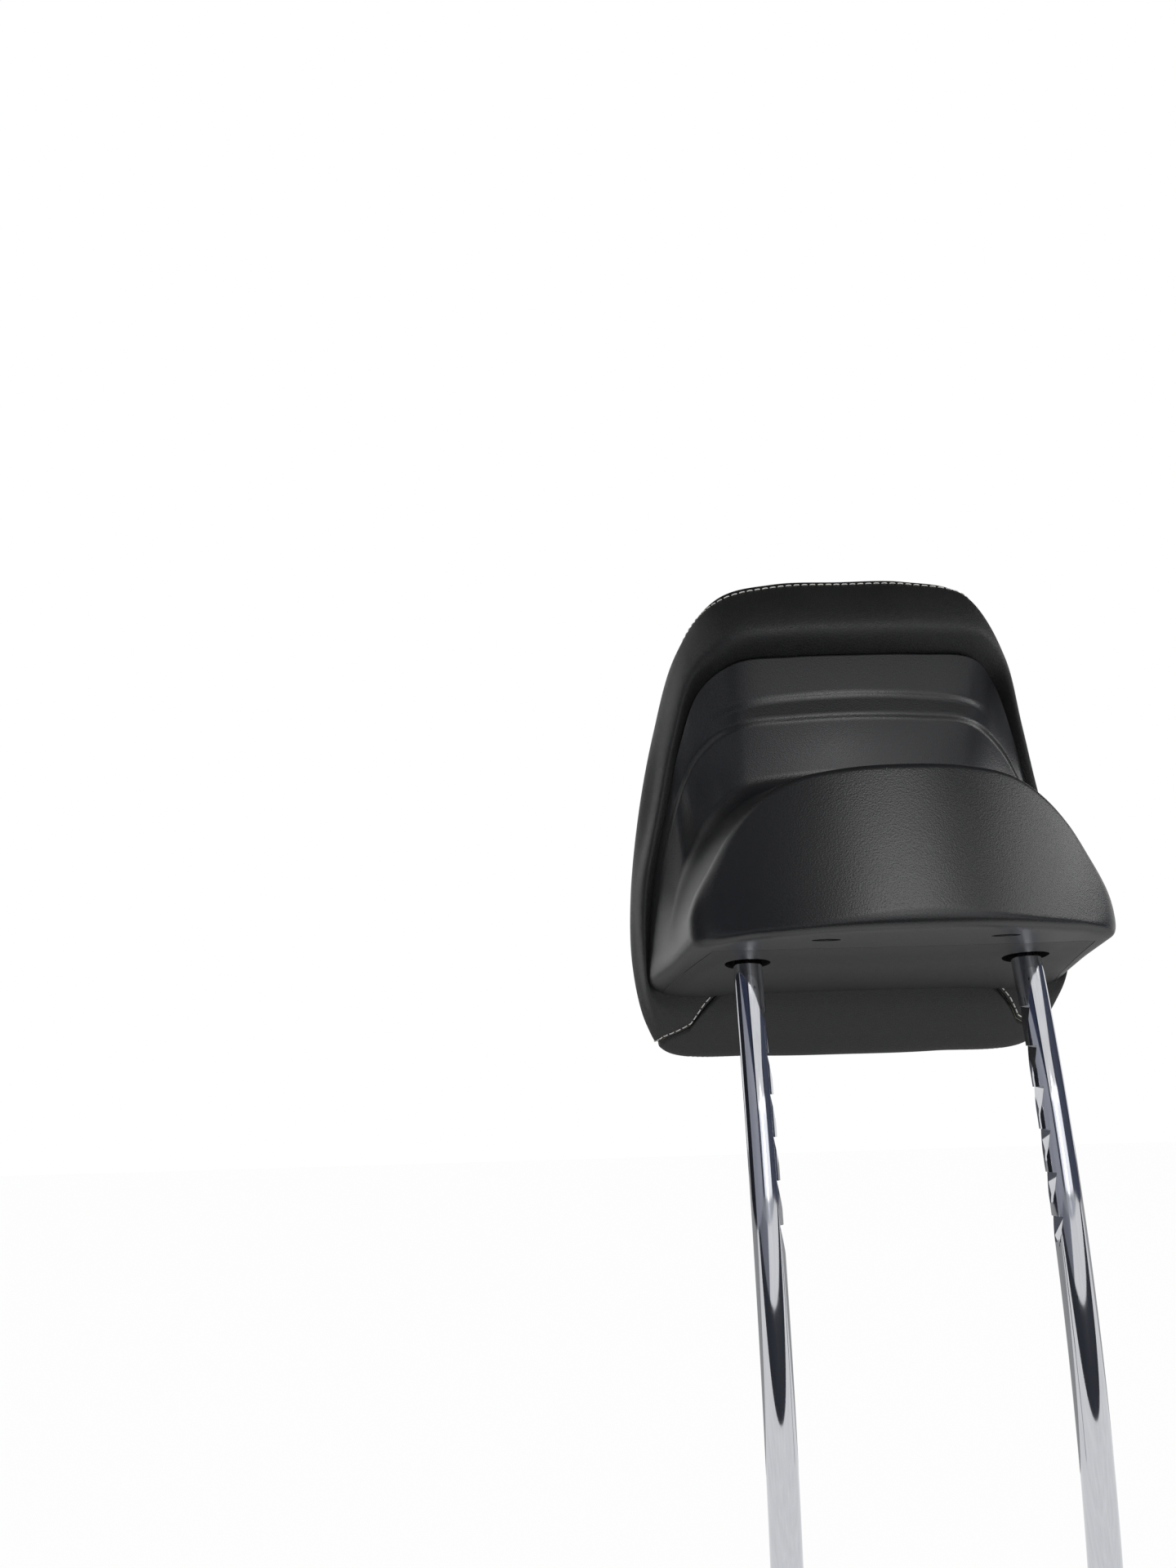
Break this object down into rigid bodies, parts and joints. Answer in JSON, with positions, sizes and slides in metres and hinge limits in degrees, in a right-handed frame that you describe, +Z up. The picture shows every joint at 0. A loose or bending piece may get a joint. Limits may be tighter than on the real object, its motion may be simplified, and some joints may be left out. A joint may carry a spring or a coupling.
{
  "type": "car headrest",
  "caption": "Black leather car headrest with a moulded rear shell, stitched seams and a chromed two-post bow with height notches",
  "frame": {"origin": "Midway between the two posts, level with the holes they come out of", "axes": "+X is right seen from behind, +Y points forwards to the head, +Z is up, out of the seat"},
  "size_m": [0.2408, 0.2012, 0.4841],
  "materials": {
    "shell_plastic": "satin black moulding",
    "carrier_plastic": "satin black moulding",
    "chromed_steel": "bright chrome on bent steel bar",
    "clamp_steel": "plain zinc-coated steel",
    "cushion_foam": "open moulded foam",
    "black_leather": "fine-grained black leather with pale stitches",
    "strip_plastic": "plain extruded strip"
  },
  "bodies": {
    "root": {"rear_shell": "shell_plastic", "front_carrier": "carrier_plastic", "post_bow": "chromed_steel", "clamp_right": "clamp_steel", "clamp_left": "clamp_steel", "clamp_screw_1": "clamp_steel", "clamp_screw_2": "clamp_steel", "clamp_screw_3": "clamp_steel", "clamp_screw_4": "clamp_steel", "shell_clip_1": "clamp_steel", "shell_clip_2": "clamp_steel", "shell_clip_3": "clamp_steel", "shell_clip_4": "clamp_steel", "foam_pad": "cushion_foam", "cover_front_panel": "black_leather", "cover_band": "black_leather", "edge_strip_top": "strip_plastic", "edge_strip_right": "strip_plastic", "edge_strip_left": "strip_plastic", "edge_strip_bottom": "strip_plastic"}
  },
  "joints": []
}
